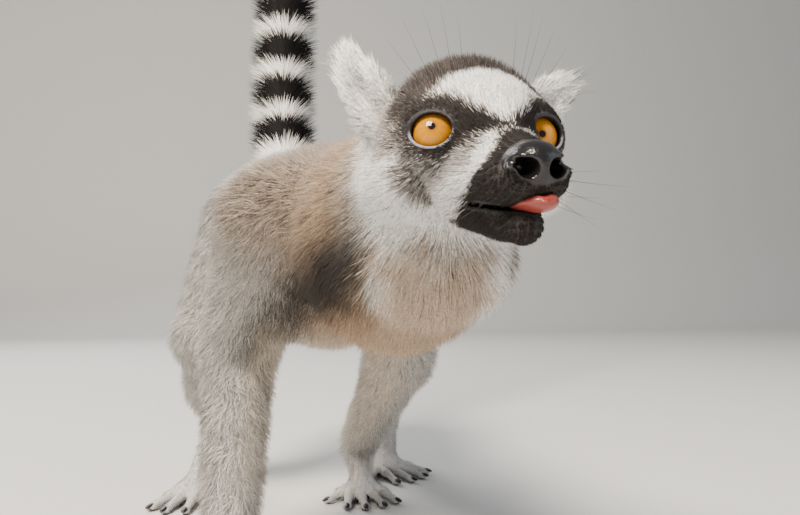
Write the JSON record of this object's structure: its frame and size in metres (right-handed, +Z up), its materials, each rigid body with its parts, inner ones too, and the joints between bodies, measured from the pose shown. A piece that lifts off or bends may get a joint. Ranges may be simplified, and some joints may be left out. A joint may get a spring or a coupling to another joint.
{
  "type": "ring-tailed lemur, standing model",
  "caption": "Life-size ring-tailed lemur standing on all fours, head stretched forward with the tongue tip out, ringed tail held upright.",
  "frame": {"origin": "centre of the bounding box in plan, on the level of the floor that the hands and feet stand on", "axes": "+Z up, +X towards the animal's left side, -Y the way it faces"},
  "size_m": [0.2068, 0.5616, 0.7823],
  "materials": {
    "grey_coat": "matt, short thick fur, brown-grey above and paler below",
    "white_coat": "matt, white fur with a few dark hairs",
    "banded_coat": "matt, deep fur in black and white rings",
    "black_skin": "bare skin, moist and finely grained",
    "wet_tongue": "wet, satin",
    "amber_eye": "wet gloss over an orange iris"
  },
  "bodies": {
    "root": {"trunk": "grey_coat", "neck": "grey_coat", "head": "grey_coat", "jaw": "grey_coat", "upper_arm_left": "grey_coat", "forearm_left": "white_coat", "hand_left": "white_coat", "thigh_left": "grey_coat", "shank_left": "grey_coat", "foot_left": "white_coat", "upper_arm_right": "grey_coat", "forearm_right": "white_coat", "hand_right": "white_coat", "thigh_right": "grey_coat", "shank_right": "grey_coat", "foot_right": "white_coat", "nose_pad": "black_skin", "tongue": "wet_tongue", "eye_left": "amber_eye", "ear_left": "white_coat", "eye_right": "amber_eye", "ear_right": "white_coat", "tail_1": "banded_coat", "tail_2": "banded_coat", "tail_3": "banded_coat", "tail_4": "banded_coat", "tail_5": "banded_coat"}
  },
  "joints": []
}
